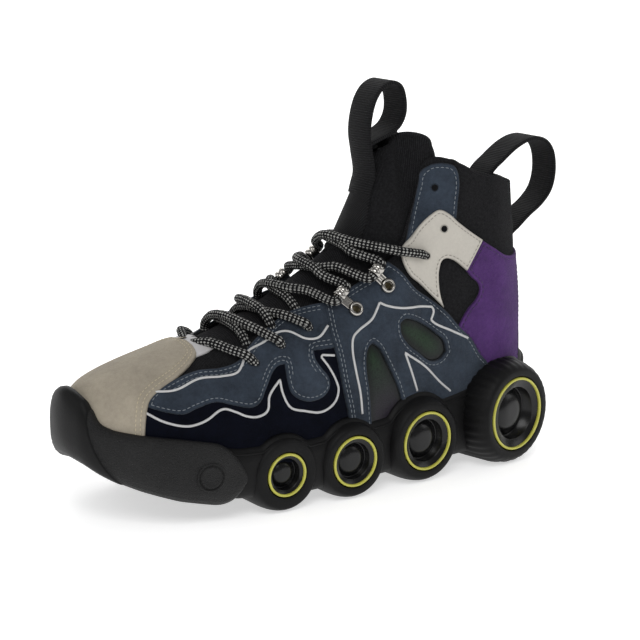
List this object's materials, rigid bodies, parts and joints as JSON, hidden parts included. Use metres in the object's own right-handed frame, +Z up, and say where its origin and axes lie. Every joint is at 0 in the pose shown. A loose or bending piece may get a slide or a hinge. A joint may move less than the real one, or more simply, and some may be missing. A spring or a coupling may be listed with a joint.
{
  "type": "high-top running shoe",
  "caption": "Left high-top running shoe with layered suede panels, rope lacing, two webbing pull loops and a sole with round roller-shaped lugs under the heel and forefoot.",
  "frame": {"origin": "middle of the shoe's overall box in plan, on the floor", "axes": "-X toward the toe, -Y toward the outer side of the left foot, +Z up"},
  "size_m": [0.3162, 0.1136, 0.2153],
  "materials": {
    "rubber": "matt black moulded rubber",
    "ring_paint": "glossy yellow-green",
    "knit": "black knit",
    "foam": "black brushed lining",
    "beige_suede": "brushed suede",
    "pale_suede": "brushed suede",
    "blue_suede": "brushed suede",
    "navy_suede": "brushed suede",
    "bone_leather": "smooth semi-gloss leather",
    "purple_suede": "brushed suede",
    "green_film": "smooth film over mesh",
    "webbing": "ribbed black webbing",
    "cord": "braided cord, black with white flecks",
    "nickel": "polished nickel"
  },
  "bodies": {
    "root": {"sole": "rubber", "insole": "foam", "upper": "knit", "tongue": "knit", "collar_lining": "knit", "toe_cap": "beige_suede", "throat_tab": "pale_suede", "backstay": "knit", "vamp_panel_outer": "blue_suede", "rand_panel_outer": "navy_suede", "quarter_panel_outer": "blue_suede", "front_window_outer": "green_film", "rear_window_outer": "green_film", "ankle_wing_outer": "bone_leather", "heel_counter_outer": "purple_suede", "collar_tab_outer": "blue_suede", "roller_ring_outer_1": "ring_paint", "roller_ring_outer_2": "ring_paint", "roller_ring_outer_3": "ring_paint", "roller_ring_outer_4": "ring_paint", "lace_hook_outer_1": "nickel", "lace_hook_outer_2": "nickel", "vamp_panel_inner": "blue_suede", "rand_panel_inner": "navy_suede", "quarter_panel_inner": "blue_suede", "front_window_inner": "green_film", "rear_window_inner": "green_film", "ankle_wing_inner": "bone_leather", "heel_counter_inner": "purple_suede", "collar_tab_inner": "blue_suede", "roller_ring_inner_1": "ring_paint", "roller_ring_inner_2": "ring_paint", "roller_ring_inner_3": "ring_paint", "roller_ring_inner_4": "ring_paint", "lace_hook_inner_1": "nickel", "lace_hook_inner_2": "nickel", "lace": "cord", "tongue_loop": "webbing", "heel_loop": "webbing"}
  },
  "joints": []
}
